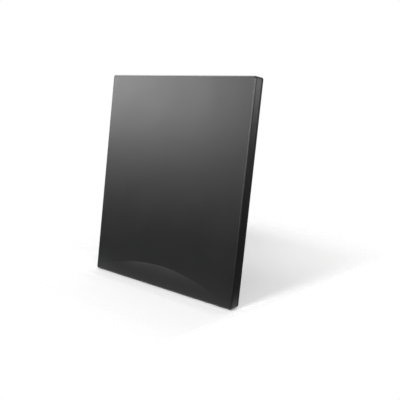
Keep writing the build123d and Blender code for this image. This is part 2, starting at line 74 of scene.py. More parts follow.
class CaseSettings(bpy.types.PropertyGroup):
    """Finishes of the moulded case"""

    front_colour: bpy.props.FloatVectorProperty(
        name="Front colour",
        description="Colour of the front cover's plastic",
        subtype="COLOR",
        size=3,
        default=(0.0045, 0.0045, 0.005),
        min=0.0,
        max=1.0,
    )
    front_roughness: bpy.props.FloatProperty(
        name="Front roughness",
        description="How far the front cover's satin gloss spreads",
        subtype="FACTOR",
        default=0.325,
        min=0.05,
        max=1.0,
    )
    rear_colour: bpy.props.FloatVectorProperty(
        name="Rear colour",
        description="Colour of the rear cover and the foot",
        subtype="COLOR",
        size=3,
        default=(0.006, 0.006, 0.0066),
        min=0.0,
        max=1.0,
    )
    rear_roughness: bpy.props.FloatProperty(
        name="Rear roughness",
        description="How far the rear cover's gloss spreads",
        subtype="FACTOR",
        default=0.48,
        min=0.05,
        max=1.0,
    )
    grain: bpy.props.FloatProperty(
        name="Grain",
        description="Size of the moulded grain on the rear cover and the foot",
        unit="LENGTH",
        default=0.0007,
        min=0.0001,
        max=0.01,
        precision=5,
    )
    edge_break: bpy.props.FloatProperty(
        name="Edge break",
        description="Width of the small rounding on the mouldings' sharp edges",
        unit="LENGTH",
        default=0.00015,
        min=0.00002,
        max=0.001,
        precision=5,
    )


class HardwareSettings(bpy.types.PropertyGroup):
    """Threads and screws"""

    thread_radius: bpy.props.FloatProperty(
        name="Thread radius",
        description="Outer radius of the socket's thread",
        unit="LENGTH",
        default=0.0047625,
        min=0.001,
        max=0.02,
        precision=5,
    )
    thread_pitch: bpy.props.FloatProperty(
        name="Thread pitch",
        description="Distance from one turn of the socket's thread to the next",
        unit="LENGTH",
        default=0.00079375,
        min=0.0002,
        max=0.005,
        precision=6,
    )
    thread_depth: bpy.props.FloatProperty(
        name="Thread depth",
        description="Height of the socket's thread above its root",
        unit="LENGTH",
        default=0.00046,
        min=0.0001,
        max=0.002,
        precision=5,
    )
    screw_turn_seed: bpy.props.IntProperty(
        name="Screw turn seed",
        description="Seed for how far each screw was driven round",
        default=7,
        min=0,
    )


class StudioSettings(bpy.types.PropertyGroup):
    """Camera, floor and lamps"""

    lens: bpy.props.FloatProperty(
        name="Lens",
        description="Focal length of the camera",
        subtype="DISTANCE_CAMERA",
        default=54.48,
        min=10.0,
        max=300.0,
    )
    camera_place: bpy.props.FloatVectorProperty(
        name="Camera place",
        description="Where the camera stands",
        subtype="TRANSLATION",
        size=3,
        default=(0.4377, -0.469468, 0.226676),
    )
    camera_azimuth: bpy.props.FloatProperty(
        name="Camera azimuth",
        description="Direction of view, turned from straight at the front",
        subtype="ANGLE",
        default=math.radians(-41.01),
    )
    camera_drop: bpy.props.FloatProperty(
        name="Camera drop",
        description="How far the camera looks down",
        subtype="ANGLE",
        default=math.radians(12.019),
    )
    floor_colour: bpy.props.FloatVectorProperty(
        name="Floor colour",
        description="Colour of the pale floor",
        subtype="COLOR",
        size=3,
        default=(0.93, 0.93, 0.93),
        min=0.0,
        max=1.0,
    )
    key_power: bpy.props.FloatProperty(
        name="Softbox power",
        description="Power of the large softbox at the front left",
        unit="POWER",
        default=25.8,
        min=0.0,
    )
    top_power: bpy.props.FloatProperty(
        name="Top lamp power",
        description="Power of the lamp above the front, which throws the shadow behind",
        unit="POWER",
        default=17.5,
        min=0.0,
    )
    fill_power: bpy.props.FloatProperty(
        name="Overhead power",
        description="Power of the wide softbox high on the right, which keeps the shadows light",
        unit="POWER",
        default=3.0,
        min=0.0,
    )
    rim_power: bpy.props.FloatProperty(
        name="Rim strip power",
        description="Power of the narrow softbox high on the left, which draws the upper edge",
        unit="POWER",
        default=4.0,
        min=0.0,
    )
    side_power: bpy.props.FloatProperty(
        name="Side softbox power",
        description="Power of the softbox behind the right side",
        unit="POWER",
        default=3.0,
        min=0.0,
    )
    front_power: bpy.props.FloatProperty(
        name="Front softbox power",
        description="Power of the softbox at the front right, which shows the rounded edge",
        unit="POWER",
        default=39.0,
        min=0.0,
    )
    rear_power: bpy.props.FloatProperty(
        name="Rear lamp power",
        description="Power of the lamp above the rear, which throws the faint shadow in front",
        unit="POWER",
        default=4.5,
        min=0.0,
    )
    top_card_power: bpy.props.FloatProperty(
        name="Top card power",
        description="Power of the card high on the left, which shows in the upper rounded edge",
        unit="POWER",
        default=20.0,
        min=0.0,
    )
    edge_card_power: bpy.props.FloatProperty(
        name="Edge card power",
        description="Power of the card in front, which shows in the right rounded edge",
        unit="POWER",
        default=26.0,
        min=0.0,
    )
    corner_card_power: bpy.props.FloatProperty(
        name="Corner card power",
        description="Power of the card overhead, which shows in the upper right corner",
        unit="POWER",
        default=17.0,
        min=0.0,
    )
    back_power: bpy.props.FloatProperty(
        name="Back softbox power",
        description="Power of the softbox that lights the rear cover",
        unit="POWER",
        default=5.0,
        min=0.0,
    )


def shader_group(name, inputs, outputs):
    """An empty shader group with named sockets. Returns the tree and its two end nodes."""
    tree = bpy.data.node_groups.new(name, "ShaderNodeTree")
    for label, value in inputs:
        socket = tree.interface.new_socket(label, in_out="INPUT", socket_type="NodeSocketFloat")
        socket.default_value = value
    for label in outputs:
        tree.interface.new_socket(label, in_out="OUTPUT", socket_type="NodeSocketFloat")
    return tree, tree.nodes.new("NodeGroupInput"), tree.nodes.new("NodeGroupOutput")


def scaled_place(tree, size):
    """Object coordinates divided by a size, so that one unit is one grain."""
    place = tree.nodes.new("ShaderNodeTexCoord")
    divide = tree.nodes.new("ShaderNodeMath")
    divide.operation = "DIVIDE"
    divide.inputs[0].default_value = 1.0
    scale = tree.nodes.new("ShaderNodeVectorMath")
    scale.operation = "SCALE"
    tree.links.new(size, divide.inputs[1])
    tree.links.new(place.outputs["Object"], scale.inputs[0])
    tree.links.new(divide.outputs[0], scale.inputs["Scale"])
    return scale.outputs[0]


def noise(tree, vector, scale, detail, roughness=0.5):
    """A noise texture's value."""
    node = tree.nodes.new("ShaderNodeTexNoise")
    node.inputs["Scale"].default_value = scale
    node.inputs["Detail"].default_value = detail
    node.inputs["Roughness"].default_value = roughness
    tree.links.new(vector, node.inputs["Vector"])
    return node.outputs["Fac"]


def combine(tree, operation, first, second=0.0):
    """One Math node over one or two sockets or numbers."""
    node = tree.nodes.new("ShaderNodeMath")
    node.operation = operation
    for index, value in enumerate((first, second)):
        if isinstance(value, (int, float)):
            node.inputs[index].default_value = value
        else:
            tree.links.new(value, node.inputs[index])
    return node.outputs[0]


def remap(tree, value, low, high, to_low, to_high, smooth=False):
    """A Map Range node's result."""
    node = tree.nodes.new("ShaderNodeMapRange")
    if smooth:
        node.interpolation_type = "SMOOTHSTEP"
    tree.links.new(value, node.inputs["Value"])
    node.inputs["From Min"].default_value = low
    node.inputs["From Max"].default_value = high
    node.inputs["To Min"].default_value = to_low
    node.inputs["To Max"].default_value = to_high
    return node.outputs["Result"]


def level_distance(tree, place, east, north):
    """Distance along a level direction, from Object coordinates."""
    node = tree.nodes.new("ShaderNodeVectorMath")
    node.operation = "DOT_PRODUCT"
    node.inputs[1].default_value = (east, north, 0.0)
    tree.links.new(place.outputs["Object"], node.inputs[0])
    return node.outputs["Value"]


def moulded_grain_group():
    """Spark-eroded grain of a mould: rounded cells under a finer roughness."""
    tree, start, end = shader_group("Moulded grain", [("Size", 0.0007)], ["Height", "Tone"])
    vector = scaled_place(tree, start.outputs["Size"])
    cells = tree.nodes.new("ShaderNodeTexVoronoi")
    cells.feature = "SMOOTH_F1"
    cells.inputs["Scale"].default_value = 0.8
    cells.inputs["Smoothness"].default_value = 0.6
    tree.links.new(vector, cells.inputs["Vector"])
    fine = noise(tree, vector, 1.9, 2.0)
    height = combine(tree, "ADD", combine(tree, "MULTIPLY", cells.outputs["Distance"], 0.7), fine)
    tree.links.new(height, end.inputs["Height"])
    tree.links.new(noise(tree, vector, 0.05, 3.0), end.inputs["Tone"])
    return tree


def handling_group():
    """Soft uneven patches where a surface was wiped and handled."""
    tree, start, end = shader_group("Handling", [("Size", 0.05)], ["Smudge"])
    vector = scaled_place(tree, start.outputs["Size"])
    patch = remap(tree, noise(tree, vector, 1.0, 4.0, 0.6), 0.35, 0.65, 0.0, 1.0, smooth=True)
    tree.links.new(patch, end.inputs["Smudge"])
    return tree


def drawn_metal_group():
    """Fine streaks along one direction, as rolling, turning or stamping leaves them."""
    tree, start, end = shader_group("Drawn metal", [("Size", 0.0004), ("Stretch", 12.0)], ["Streak"])
    vector = scaled_place(tree, start.outputs["Size"])
    squeeze = combine(tree, "DIVIDE", 1.0, start.outputs["Stretch"])
    factors = tree.nodes.new("ShaderNodeCombineXYZ")
    factors.inputs["Y"].default_value = 1.0
    factors.inputs["Z"].default_value = 1.0
    tree.links.new(squeeze, factors.inputs["X"])
    stretched = tree.nodes.new("ShaderNodeVectorMath")
    stretched.operation = "MULTIPLY"
    tree.links.new(vector, stretched.inputs[0])
    tree.links.new(factors.outputs[0], stretched.inputs[1])
    streak = remap(tree, noise(tree, stretched.outputs[0], 1.0, 3.0), 0.3, 0.7, 0.0, 1.0)
    tree.links.new(streak, end.inputs["Streak"])
    return tree


# The shared shader groups, each made when it is first used
GROUPS = {}


def effect(material, name, **values):
    """Places a shared shader group in a material with its own values."""
    if name not in GROUPS:
        makers = {
            "grain": moulded_grain_group,
            "handling": handling_group,
            "metal": drawn_metal_group,
        }
        GROUPS[name] = makers[name]()
    node = material.node_tree.nodes.new("ShaderNodeGroup")
    node.node_tree = GROUPS[name]
    for label, value in values.items():
        node.inputs[label.capitalize()].default_value = value
    return node


def new_material(name):
    """A material with an empty Principled shader. Returns the material and the shader."""
    material = bpy.data.materials.new(name)
    material.use_nodes = True
    return material, material.node_tree.nodes["Principled BSDF"]


def two_tone(material, shader, factor, colour, spread):
    """Base colour that wanders between a darker and a lighter shade of one colour."""
    tree = material.node_tree
    mix = tree.nodes.new("ShaderNodeMix")
    mix.data_type = "RGBA"
    tree.links.new(factor, mix.inputs["Factor"])
    mix.inputs["A"].default_value = (*[c * (1 - spread) for c in colour], 1.0)
    mix.inputs["B"].default_value = (*[c * (1 + spread) for c in colour], 1.0)
    tree.links.new(mix.outputs["Result"], shader.inputs["Base Color"])


def bump(material, shader, height, strength, distance):
    """Fine relief on the shader's normal."""
    tree = material.node_tree
    node = tree.nodes.new("ShaderNodeBump")
    node.inputs["Strength"].default_value = strength
    node.inputs["Distance"].default_value = distance
    tree.links.new(height, node.inputs["Height"])
    tree.links.new(node.outputs["Normal"], shader.inputs["Normal"])


def moulded(name, colour, roughness, size, strength, spread=0.12, wander=0.03, level=0.5):
    """Moulded plastic, resin or rubber with a grain of the given size."""
    material, shader = new_material(name)
    tree = material.node_tree
    grain = effect(material, "grain", size=size)
    wipe = effect(material, "handling", size=0.045)
    two_tone(material, shader, grain.outputs["Tone"], colour, spread)
    rough = remap(tree, wipe.outputs["Smudge"], 0.0, 1.0, roughness - wander, roughness + wander)
    tree.links.new(rough, shader.inputs["Roughness"])
    bump(material, shader, grain.outputs["Height"], strength, size * 0.2)
    shader.inputs["Specular IOR Level"].default_value = level
    return material


def metallic(name, colour, roughness, size, stretch, strength, spread=0.08):
    """Bare or plated metal with streaks along one direction."""
    material, shader = new_material(name)
    tree = material.node_tree
    streaks = effect(material, "metal", size=size, stretch=stretch)
    wipe = effect(material, "handling", size=0.008)
    two_tone(material, shader, wipe.outputs["Smudge"], colour, spread)
    rough = remap(tree, streaks.outputs["Streak"], 0.0, 1.0, roughness * 0.75, roughness * 1.25)
    tree.links.new(rough, shader.inputs["Roughness"])
    bump(material, shader, streaks.outputs["Streak"], strength, size * 0.1)
    shader.inputs["Metallic"].default_value = 1.0
    return material


def dress(node, material):
    """Gives a CAD node its finish."""
    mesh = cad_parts[node].data
    mesh.materials.clear()
    mesh.materials.append(material)


def piece_from_mesh(name, mesh, body, slot, *nodes):
    """An object for a finished mesh, riding on a body in place of CAD nodes."""
    mesh.name = name
    piece = bpy.data.objects.new(name, mesh)
    bpy.context.scene.collection.objects.link(piece)
    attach(piece, body)
    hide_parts(*nodes)


def evaluated_mesh(worker):
    """The mesh that an object's modifiers give. The object and its modifiers are then removed."""
    graph = bpy.context.evaluated_depsgraph_get()
    mesh = bpy.data.meshes.new_from_object(worker.evaluated_get(graph))
    worker.modifiers.clear()
    bpy.data.objects.remove(worker)
    return mesh


def mesh_from(shape, name):
    """A mesh of a finished bmesh, which is then freed."""
    mesh = bpy.data.meshes.new(name)
    shape.to_mesh(mesh)
    shape.free()
    return mesh


def work_object(name, mesh):
    """An object to build a mesh on."""
    worker = bpy.data.objects.new(name, mesh)
    bpy.context.scene.collection.objects.link(worker)
    return worker


def broken_edges(node, width, material):
    """A merged copy of a node's mesh with its sharp edges slightly rounded and its fillets smooth."""
    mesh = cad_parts[node].data.copy()
    shape = bmesh.new()
    shape.from_mesh(mesh)
    bmesh.ops.remove_doubles(shape, verts=shape.verts, dist=SAME_POINT)
    bmesh.ops.dissolve_limit(shape, angle_limit=SAME_FACE, verts=shape.verts, edges=shape.edges)
    shape.normal_update()
    for face in shape.faces:
        face.smooth = True
        face.material_index = 0
    for edge in shape.edges:
        edge.smooth = len(edge.link_faces) == 2 and edge.calc_face_angle() < SHARP_ANGLE
    mesh.materials.clear()
    mesh.materials.append(material)
    shape.to_mesh(mesh)
    shape.free()
    worker = work_object(node + "_work", mesh)
    bevel = worker.modifiers.new("Edge break", "BEVEL")
    bevel.width = width
    bevel.segments = 2
    bevel.limit_method = "ANGLE"
    bevel.angle_limit = BREAK_ANGLE
    bevel.use_clamp_overlap = True
    bevel.miter_outer = "MITER_ARC"
    weigh = worker.modifiers.new("Flat faces stay flat", "WEIGHTED_NORMAL")
    weigh.weight = 100
    weigh.keep_sharp = True
    return evaluated_mesh(worker)


class ANTENNA_OT_covers(bpy.types.Operator):
    """Front cover and rear cover with broken edges and moulded finishes"""

    bl_idname = "antenna.covers"
    bl_label = "Covers"

    def execute(self, context):
        case = context.scene.antenna_case
        front = moulded(
            "Front plastic",
            case.front_colour,
            case.front_roughness,
            size=0.00035,
            strength=0.05,
            spread=0.1,
            wander=0.012,
            level=0.58,
        )
        rear = moulded(
            "Rear plastic",
            case.rear_colour,
            case.rear_roughness,
            size=case.grain,
            strength=0.35,
            level=0.4,
        )
        mesh = broken_edges("front_cover", case.edge_break, front)
        piece_from_mesh("front_cover_moulding", mesh, "case", "front_plastic", "front_cover")
        mesh = broken_edges("rear_cover", case.edge_break, rear)
        piece_from_mesh("rear_cover_moulding", mesh, "case", "rear_plastic", "rear_cover")
        return {"FINISHED"}


# Width of the rounding on the rubber's edges
RUBBER_EDGE = 0.0003


class ANTENNA_OT_foot(bpy.types.Operator):
    """Fold-out foot and the rubber that the antenna stands on"""

    bl_idname = "antenna.foot"
    bl_label = "Foot and rubber"

    def execute(self, context):
        case = context.scene.antenna_case
        plastic = moulded(
            "Foot plastic", case.rear_colour, case.rear_roughness, size=case.grain, strength=0.35
        )
        rubber = moulded(
            "Rubber",
            (0.016, 0.016, 0.016),
            0.82,
            size=0.0004,
            strength=0.5,
            spread=0.15,
            wander=0.05,
            level=0.35,
        )
        mesh = broken_edges("fold_out_foot", case.edge_break, plastic)
        piece_from_mesh("fold_out_foot_moulding", mesh, "foot", "foot_plastic", "fold_out_foot")
        mesh = broken_edges("foot_tip_pad", RUBBER_EDGE, rubber)
        piece_from_mesh("foot_tip_pad_rubber", mesh, "foot", "rubber", "foot_tip_pad")
        for side in ("left", "right"):
            mesh = broken_edges(side + "_base_foot", RUBBER_EDGE, rubber)
            piece_from_mesh(
                side + "_base_foot_rubber", mesh, "case", "rubber", side + "_base_foot"
            )
        return {"FINISHED"}


def geometry_tree(name, inputs):
    """An empty Geometry Nodes tree with a geometry through it and named inputs."""
    tree = bpy.data.node_groups.new(name, "GeometryNodeTree")
    tree.interface.new_socket("Geometry", in_out="INPUT", socket_type="NodeSocketGeometry")
    for label, kind in inputs:
        tree.interface.new_socket(label, in_out="INPUT", socket_type=kind)
    tree.interface.new_socket("Geometry", in_out="OUTPUT", socket_type="NodeSocketGeometry")
    return tree, tree.nodes.new("NodeGroupInput"), tree.nodes.new("NodeGroupOutput")


def end_tree(tree, geometry, material, end):
    """Ends a tree in Realize Instances and Set Material."""
    real = tree.nodes.new("GeometryNodeRealizeInstances")
    tree.links.new(geometry, real.inputs[0])
    finish = tree.nodes.new("GeometryNodeSetMaterial")
    tree.links.new(real.outputs[0], finish.inputs["Geometry"])
    tree.links.new(material, finish.inputs["Material"])
    tree.links.new(finish.outputs[0], end.inputs[0])


def set_inputs(modifier, values):
    """Sets a Geometry Nodes modifier's inputs by their sockets' identifiers."""
    for item in modifier.node_group.interface.items_tree:
        if item.item_type == "SOCKET" and item.in_out == "INPUT" and item.name in values:
            modifier[item.identifier] = values[item.name]


# Half the width of a thread's crest and the width of its flank, as shares of the pitch
CREST_SHARE = 0.07
FLANK_SHARE = 0.4

# Where the crest and the flank end on the way from the strip's middle to its edge
CREST_END = 0.25
FLANK_END = 0.75

# How deep the strip's edges lie, as a share of the thread's depth, and the part of the strip's length
# over which each end of the thread runs out
EDGE_SINK = 0.3
RUN_OUT = 0.06


def thread_tree():
    """Adds a helical thread about Z to the geometry: a strip that is bent round into a closed ridge.

    Across the strip, the middle is the crest, the flanks come next, and both edges meet under the
    ridge, inside what it is cut on.
    """
    kinds = [
        ("Root Radius", "NodeSocketFloat"),
        ("Crest Radius", "NodeSocketFloat"),
        ("Pitch", "NodeSocketFloat"),
        ("Start", "NodeSocketFloat"),
        ("Turns", "NodeSocketFloat"),
        ("Steps", "NodeSocketInt"),
        ("Material", "NodeSocketMaterial"),
    ]
    tree, start, end = geometry_tree("Helical thread", kinds)
    sizes = start.outputs
    strip = tree.nodes.new("GeometryNodeMeshGrid")
    strip.inputs["Size X"].default_value = 1.0
    strip.inputs["Size Y"].default_value = 1.0
    strip.inputs["Vertices Y"].default_value = 9
    tree.links.new(sizes["Steps"], strip.inputs["Vertices X"])
    place = tree.nodes.new("GeometryNodeInputPosition")
    parts = tree.nodes.new("ShaderNodeSeparateXYZ")
    tree.links.new(place.outputs[0], parts.inputs[0])
    along = combine(tree, "ADD", parts.outputs["X"], 0.5)
    turned = combine(tree, "MULTIPLY", along, sizes["Turns"])
    angle = combine(tree, "MULTIPLY", turned, 2 * math.pi)
    off_crest = combine(tree, "MULTIPLY", combine(tree, "ABSOLUTE", parts.outputs["Y"]), 2.0)
    side = combine(tree, "SIGN", parts.outputs["Y"])
    crest = remap(tree, off_crest, 0.0, CREST_END, 0.0, CREST_SHARE)
    flank = remap(tree, off_crest, CREST_END, FLANK_END, 0.0, FLANK_SHARE)
    under = remap(tree, off_crest, FLANK_END, 1.0, 0.0, CREST_SHARE + FLANK_SHARE)
    spread = combine(tree, "SUBTRACT", combine(tree, "ADD", crest, flank), under)
    ends = combine(tree, "MINIMUM", along, combine(tree, "SUBTRACT", 1.0, along))
    run_out = remap(tree, ends, 0.0, RUN_OUT, 0.0, 1.0, smooth=True)
    across = combine(tree, "MULTIPLY", combine(tree, "MULTIPLY", side, spread), run_out)
    fall = remap(tree, off_crest, CREST_END, FLANK_END, 1.0, 0.0)
    sink = remap(tree, off_crest, FLANK_END, 1.0, 0.0, EDGE_SINK)
    rise = combine(tree, "MULTIPLY", combine(tree, "SUBTRACT", fall, sink), run_out)
    depth = combine(tree, "SUBTRACT", sizes["Crest Radius"], sizes["Root Radius"])
    radius = combine(tree, "ADD", sizes["Root Radius"], combine(tree, "MULTIPLY", depth, rise))
    lead = combine(tree, "ADD", turned, across)
    height = combine(tree, "ADD", sizes["Start"], combine(tree, "MULTIPLY", lead, sizes["Pitch"]))
    point = tree.nodes.new("ShaderNodeCombineXYZ")
    for axis, wave in (("X", "COSINE"), ("Y", "SINE")):
        reach = combine(tree, "MULTIPLY", radius, combine(tree, wave, angle))
        tree.links.new(reach, point.inputs[axis])
    tree.links.new(height, point.inputs["Z"])
    bent = tree.nodes.new("GeometryNodeSetPosition")
    tree.links.new(strip.outputs["Mesh"], bent.inputs["Geometry"])
    tree.links.new(point.outputs[0], bent.inputs["Position"])
    ridge = tree.nodes.new("GeometryNodeMergeByDistance")
    ridge.inputs["Distance"].default_value = 1e-7
    tree.links.new(bent.outputs[0], ridge.inputs["Geometry"])
    join = tree.nodes.new("GeometryNodeJoinGeometry")
    tree.links.new(ridge.outputs[0], join.inputs[0])
    tree.links.new(start.outputs["Geometry"], join.inputs[0])
    end_tree(tree, join.outputs[0], sizes["Material"], end)
    return tree


def set_tree():
    """Sets a piece on every point of the geometry, each turned about Z by a seeded angle."""
    kinds = [
        ("Piece", "NodeSocketObject"),
        ("Seed", "NodeSocketInt"),
        ("Material", "NodeSocketMaterial"),
    ]
    tree, start, end = geometry_tree("Driven screws", kinds)
    info = tree.nodes.new("GeometryNodeObjectInfo")
    info.inputs["As Instance"].default_value = True
    tree.links.new(start.outputs["Piece"], info.inputs["Object"])
    turn = tree.nodes.new("FunctionNodeRandomValue")
    turn.data_type = "FLOAT_VECTOR"
    turn.inputs["Max"].default_value = (0.0, 0.0, math.pi / 2)
    tree.links.new(start.outputs["Seed"], turn.inputs["Seed"])
    place = tree.nodes.new("GeometryNodeInstanceOnPoints")
    tree.links.new(start.outputs["Geometry"], place.inputs["Points"])
    tree.links.new(info.outputs["Geometry"], place.inputs["Instance"])
    tree.links.new(turn.outputs["Value"], place.inputs["Rotation"])
    end_tree(tree, place.outputs[0], start.outputs["Material"], end)
    return tree


def lathe(shape, outline, steps):
    """Turns an outline of (radius, height) points about Z into a closed band of faces."""
    rings = []
    for radius, height in outline:
        ring = []
        for step in range(steps):
            angle = 2 * math.pi * step / steps
            ring.append(shape.verts.new((radius * math.cos(angle), radius * math.sin(angle), height)))
        rings.append(ring)
    for lower, upper in zip(rings, rings[1:] + rings[:1]):
        for step in range(steps):
            after = (step + 1) % steps
            shape.faces.new((lower[step], lower[after], upper[after], upper[step]))


def threaded(name, shape, tree, material, sizes):
    """The mesh of a turned shape with a thread cut on it."""
    bmesh.ops.recalc_face_normals(shape, faces=shape.faces)
    worker = work_object(name + "_work", mesh_from(shape, name))
    modifier = worker.modifiers.new("Thread", "NODES")
    modifier.node_group = tree
    set_inputs(modifier, {**sizes, "Material": material})
    mesh = evaluated_mesh(worker)
    mesh.shade_smooth()
    mesh.set_sharp_from_angle(angle=SHARP_ANGLE)
    return mesh


# Height of the socket's axis on the panel
SOCKET_UP = 0.148

# Places on the socket's axis, from the panel's front face back
SOCKET_FOOT = 0.0071
SOCKET_BORE_FLOOR = 0.009
SOCKET_BASE_TOP = 0.011
SOCKET_NECK_END = 0.0165
SOCKET_THREAD_START = 0.0167
SOCKET_THREAD_END = 0.0238
SOCKET_TIP = 0.024

# Radii and chamfers of the socket's barrel
SOCKET_TAIL_BORE = 0.0015
SOCKET_BORE = 0.0033
SOCKET_NECK = 0.0045
SOCKET_BORE_CHAMFER = 0.0002
SOCKET_TIP_CHAMFER = 0.0001

# The socket's square base and the legs under it
BASE_SIDE = 0.012
BASE_EDGE = 0.0003
LEG_OFFSET = 0.0045
LEG_LENGTH = 0.0025

# How far the ridge of the thread is sunk into the barrel, and its points in one turn
THREAD_SINK = 0.00003
THREAD_STEPS = 56

# Width of the rounding on the edges of the nut and the washer
PLATED_EDGE = 0.00008


class ANTENNA_OT_socket(bpy.types.Operator):
    """Coaxial socket with its thread, nut, washer, insulator and contact"""

    bl_idname = "antenna.socket"
    bl_label = "Socket"

    def execute(self, context):
        hardware = context.scene.antenna_hardware
        nickel = metallic(
            "Nickel plate", (0.62, 0.6, 0.56), 0.24, size=0.0003, stretch=6.0, strength=0.06
        )
        white = moulded(
            "Insulator plastic", (0.78, 0.78, 0.75), 0.4, size=0.0005, strength=0.1, spread=0.03
        )
        bronze = metallic(
            "Contact bronze", (0.72, 0.55, 0.26), 0.26, size=0.0002, stretch=8.0, strength=0.05
        )
        crest = hardware.thread_radius
        root = crest - hardware.thread_depth
        outline = [
            (SOCKET_TAIL_BORE, SOCKET_FOOT),
            (SOCKET_TAIL_BORE, SOCKET_BORE_FLOOR),
            (SOCKET_BORE, SOCKET_BORE_FLOOR),
            (SOCKET_BORE, SOCKET_TIP - SOCKET_BORE_CHAMFER),
            (SOCKET_BORE + SOCKET_BORE_CHAMFER, SOCKET_TIP),
            (root - SOCKET_TIP_CHAMFER, SOCKET_TIP),
            (root, SOCKET_TIP - SOCKET_TIP_CHAMFER),
            (root, SOCKET_THREAD_START),
            (SOCKET_NECK, SOCKET_NECK_END),
            (SOCKET_NECK, SOCKET_BASE_TOP),
            (SOCKET_NECK, SOCKET_FOOT),
        ]
        shape = bmesh.new()
        lathe(shape, outline, steps=72)
        self.add_base(shape)
        pitch = hardware.thread_pitch
        turns = (SOCKET_THREAD_END - SOCKET_THREAD_START - pitch) / pitch
        sizes = {
            "Root Radius": root - THREAD_SINK,
            "Crest Radius": crest,
            "Pitch": pitch,
            "Start": SOCKET_THREAD_START + pitch / 2,
            "Turns": turns,
            "Steps": int(turns * THREAD_STEPS),
        }
        mesh = threaded("socket_body_threaded", shape, thread_tree(), nickel, sizes)
        mesh.transform(panel_frame() @ Matrix.Translation((0.0, SOCKET_UP, 0.0)))
        piece_from_mesh("socket_body_threaded", mesh, "case", "nickel_plate", "socket_body")
        for node in ("socket_nut", "socket_washer"):
            mesh = broken_edges(node, PLATED_EDGE, nickel)
            piece_from_mesh(node + "_plated", mesh, "case", "nickel_plate", node)
        dress("socket_insulator", white)
        dress("socket_contact", bronze)
        return {"FINISHED"}

    def add_base(self, shape):
        """Square base under the rear wall and the four legs soldered into the board."""
        thickness = SOCKET_BASE_TOP - SOCKET_FOOT
        middle = (SOCKET_BASE_TOP + SOCKET_FOOT) / 2
        block = bmesh.new()
        bmesh.ops.create_cube(block, size=1.0)
        bmesh.ops.scale(block, vec=(BASE_SIDE, BASE_SIDE, thickness), verts=block.verts)
        bmesh.ops.translate(block, vec=(0, 0, middle), verts=block.verts)
        bmesh.ops.bevel(
            block, geom=list(block.edges), offset=BASE_EDGE, segments=2, affect="EDGES", profile=0.5
        )
        holder = mesh_from(block, "socket_base")
        shape.from_mesh(holder)
        bpy.data.meshes.remove(holder)
        for side in (-LEG_OFFSET, LEG_OFFSET):
            for end in (-LEG_OFFSET, LEG_OFFSET):
                spot = Matrix.Translation((side, end, SOCKET_FOOT - LEG_LENGTH / 2))
                bmesh.ops.create_cone(
                    shape,
                    cap_ends=True,
                    segments=16,
                    radius1=0.0004,
                    radius2=0.0005,
                    depth=LEG_LENGTH,
                    matrix=spot,
                )


# Cover screws: distance from the panel's edges, and the head's seat behind the front face
SCREW_INSET = 0.012
SCREW_SEAT = 0.0098

# Head and shank of a cover screw
HEAD_RADIUS = 0.0028
HEAD_SKIRT = 0.0006
HEAD_DOME = 0.0013
HEAD_STEPS = 8
CORE_RADIUS = 0.0011
CORE_LENGTH = 0.0056
POINT_RADIUS = 0.0003
SCREW_LENGTH = 0.0068

# Cross recess: height, reach of an arm and half its width, at its floor and above the head
RECESS_RINGS = ((0.0007, 0.00085, 0.00027), (0.0023, 0.0016, 0.0004))


